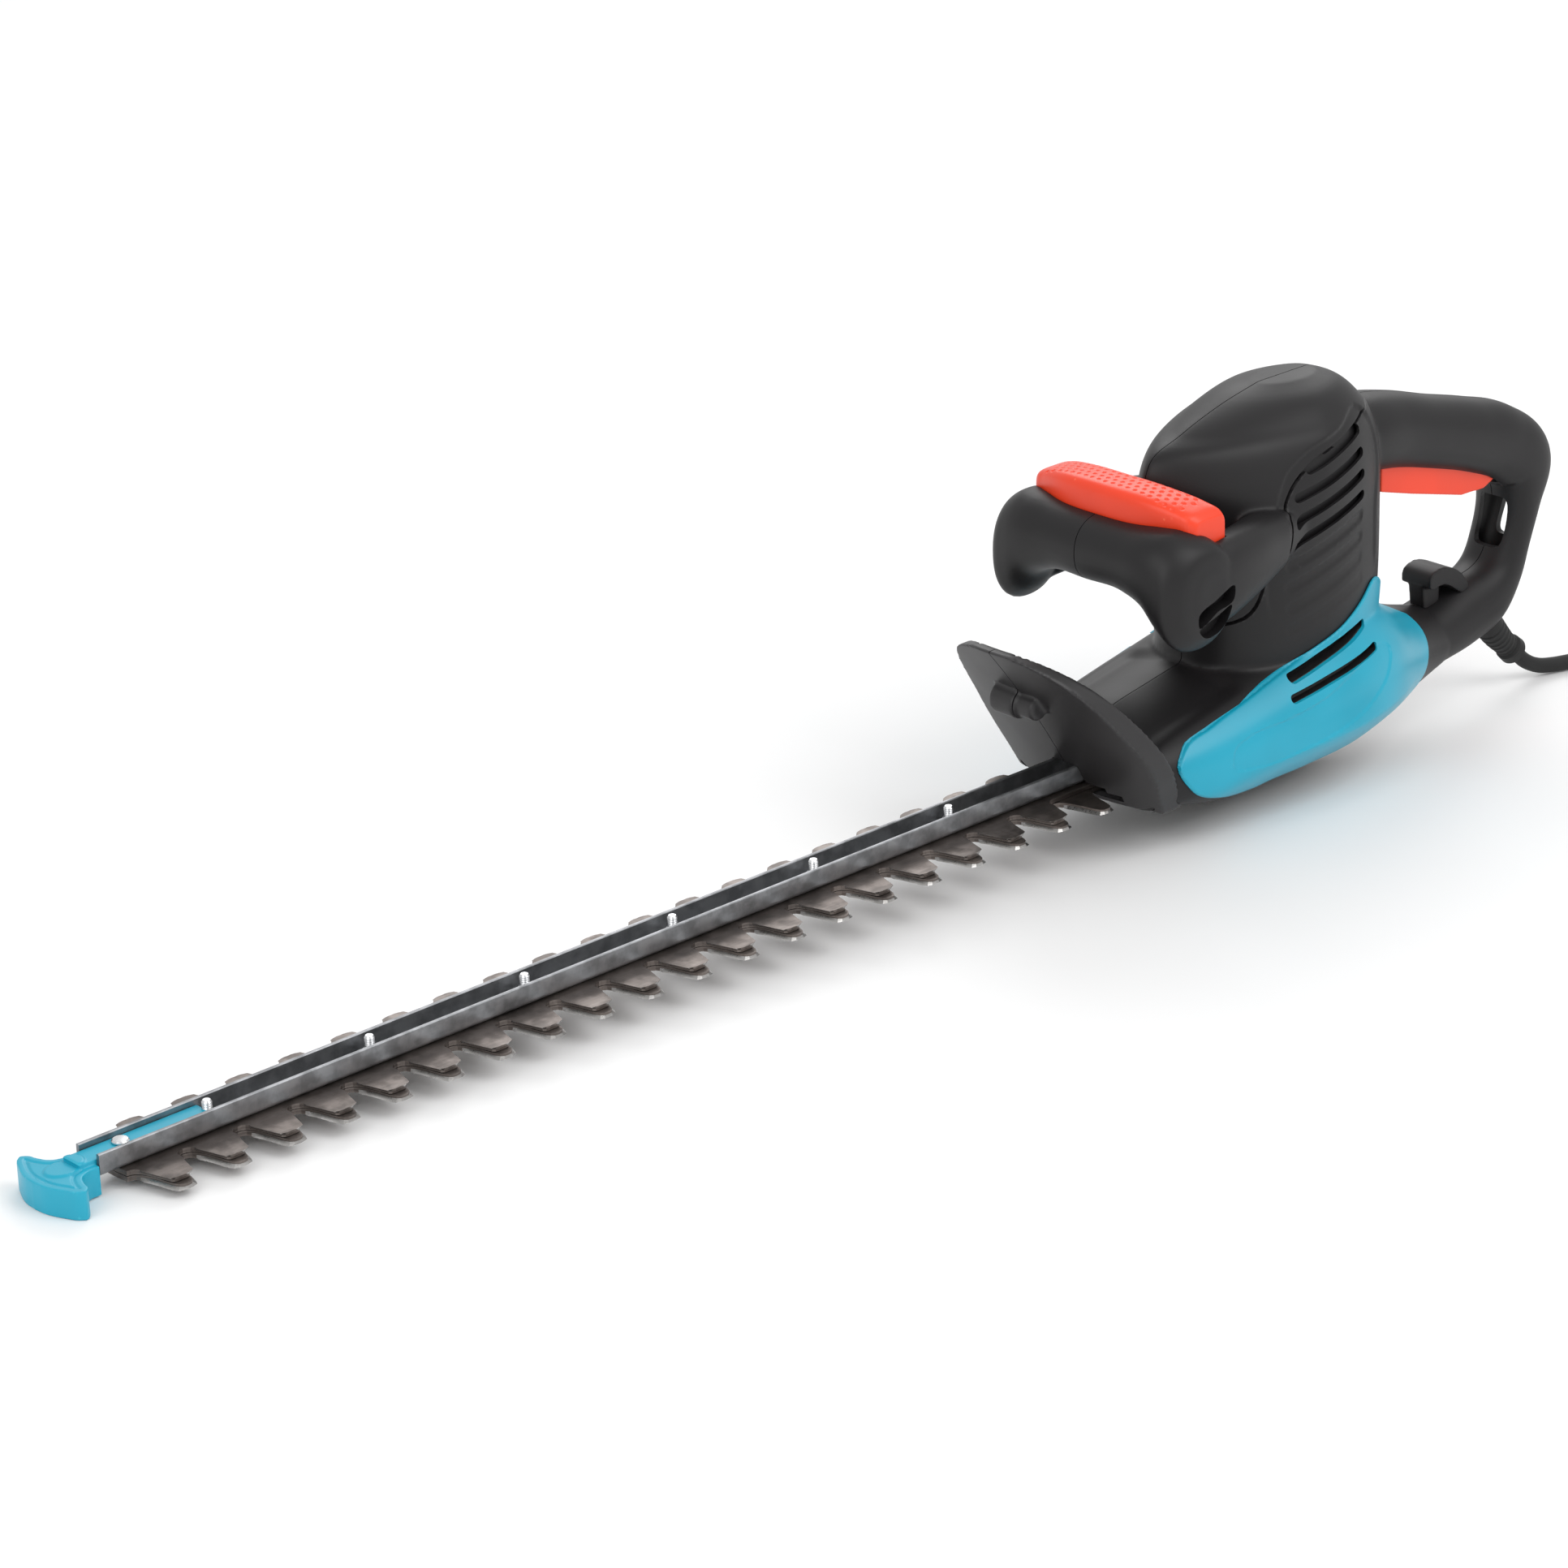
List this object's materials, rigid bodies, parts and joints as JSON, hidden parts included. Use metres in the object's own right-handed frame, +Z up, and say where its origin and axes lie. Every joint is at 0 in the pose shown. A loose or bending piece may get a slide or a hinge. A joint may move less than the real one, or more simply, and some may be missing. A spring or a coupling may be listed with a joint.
{
  "type": "hedge trimmer",
  "caption": "Corded hedge trimmer: double-sided toothed blade, leaf-shaped hand guard, upright motor tower, front grip with switch bar and closed rear handle with trigger.",
  "frame": {"origin": "on the floor, under the middle of the outline of the tool without its cord and plug", "axes": "+X forward along the blade towards its tip, +Y to the user's left, +Z up"},
  "size_m": [0.8967, 0.2257, 0.1811],
  "materials": {
    "casing": "fine-grained black moulding",
    "guard_plastic": "dark grey moulding",
    "cover_colour": "satin teal moulding",
    "control_colour": "satin orange-red moulding",
    "blade_steel": "dark stamped blade steel",
    "rail_steel": "dark semi-gloss rolled steel",
    "zinc_plate": "bright zinc plating",
    "machine_steel": "machined steel",
    "die_cast_alloy": "as cast",
    "winding_copper": "varnished winding wire",
    "contact_brass": "bright brass",
    "soft_rubber": "matte black soft rubber",
    "inner_plastic": "plain black moulding",
    "brush_carbon": "pressed graphite"
  },
  "bodies": {
    "casing": {"guide_rail": "rail_steel", "blade_bolt_1": "zinc_plate", "blade_bolt_2": "zinc_plate", "blade_bolt_3": "zinc_plate", "blade_bolt_4": "zinc_plate", "blade_bolt_5": "zinc_plate", "blade_bolt_6": "zinc_plate", "tip_guard": "cover_colour", "tip_rivet": "zinc_plate", "gear_axle": "machine_steel", "gear_case": "die_cast_alloy", "gear_cover": "die_cast_alloy", "lower_bearing": "machine_steel", "upper_bearing": "machine_steel", "stator_core": "machine_steel", "field_coil_left": "winding_copper", "field_coil_right": "winding_copper", "brush_holder_left": "contact_brass", "carbon_brush_left": "brush_carbon", "brush_holder_right": "contact_brass", "carbon_brush_right": "brush_carbon", "bearing_carrier": "inner_plastic", "capacitor": "inner_plastic", "front_switch": "inner_plastic", "switch_bar_spring_left": "zinc_plate", "switch_bar_spring_right": "zinc_plate", "rear_switch": "inner_plastic", "trigger_spring": "zinc_plate", "left_housing": "casing", "right_housing": "casing", "left_hood": "casing", "right_hood": "casing", "left_side_cover": "cover_colour", "right_side_cover": "cover_colour", "left_guard": "guard_plastic", "right_guard": "guard_plastic", "cable_hook": "casing", "cord_sleeve": "soft_rubber", "mains_cord": "soft_rubber", "mains_plug": "soft_rubber", "plug_pin_left": "contact_brass", "plug_pin_right": "contact_brass"},
    "upper_cutter": {"upper_blade": "blade_steel"},
    "lower_cutter": {"lower_blade": "blade_steel"},
    "drive": {"drive_gear": "machine_steel", "upper_eccentric": "machine_steel", "lower_eccentric": "machine_steel"},
    "rotor": {"motor_shaft": "machine_steel", "motor_pinion": "machine_steel", "cooling_fan": "inner_plastic", "armature_core": "machine_steel", "armature_winding_lower": "winding_copper", "armature_winding_upper": "winding_copper", "commutator": "winding_copper"},
    "switch_bar": {"front_switch_bar": "control_colour"},
    "trigger": {"rear_trigger": "control_colour"}
  },
  "joints": [
    {"name": "drive_turn", "type": "hinge", "parent": "casing", "child": "drive", "pos_m": [-0.20182, 0, 0.02877], "axis": [0.041, 0, 0.9992], "range_deg": [-90, 90]},
    {"name": "rotor_turn", "type": "hinge", "parent": "casing", "child": "rotor", "pos_m": [-0.23929, 0, 0.03031], "axis": [0.041, 0, 0.9992], "range_deg": [-361, 361]},
    {"name": "upper_blade_stroke", "type": "slide", "parent": "casing", "child": "upper_cutter", "axis": [0.9992, 0, -0.041], "range_m": [-0.00805, 0.00805]},
    {"name": "lower_blade_stroke", "type": "slide", "parent": "casing", "child": "lower_cutter", "axis": [0.9992, 0, -0.041], "range_m": [-0.00805, 0.00805]},
    {"name": "switch_bar_press", "type": "slide", "parent": "casing", "child": "switch_bar", "axis": [-0.041, 0, -0.9992], "range_m": [0, 0.004], "stiffness_N_per_m": 900, "springref_m": -0.003, "deforming": ["switch_bar_spring_left", "switch_bar_spring_right"]},
    {"name": "trigger_press", "type": "hinge", "parent": "casing", "child": "trigger", "pos_m": [-0.29872, 0, 0.13083], "axis": [0, 1, 0], "range_deg": [0, 5], "stiffness_Nm_per_rad": 2.5, "springref_deg": -4.58, "deforming": ["trigger_spring"]}
  ],
  "couplings": [
    {"joint": "rotor_turn", "follows": "drive_turn", "ratio": -4},
    {"joint": "upper_blade_stroke", "follows": "drive_turn", "m_per_rad": -0.005093},
    {"joint": "lower_blade_stroke", "follows": "drive_turn", "m_per_rad": 0.005093}
  ]
}
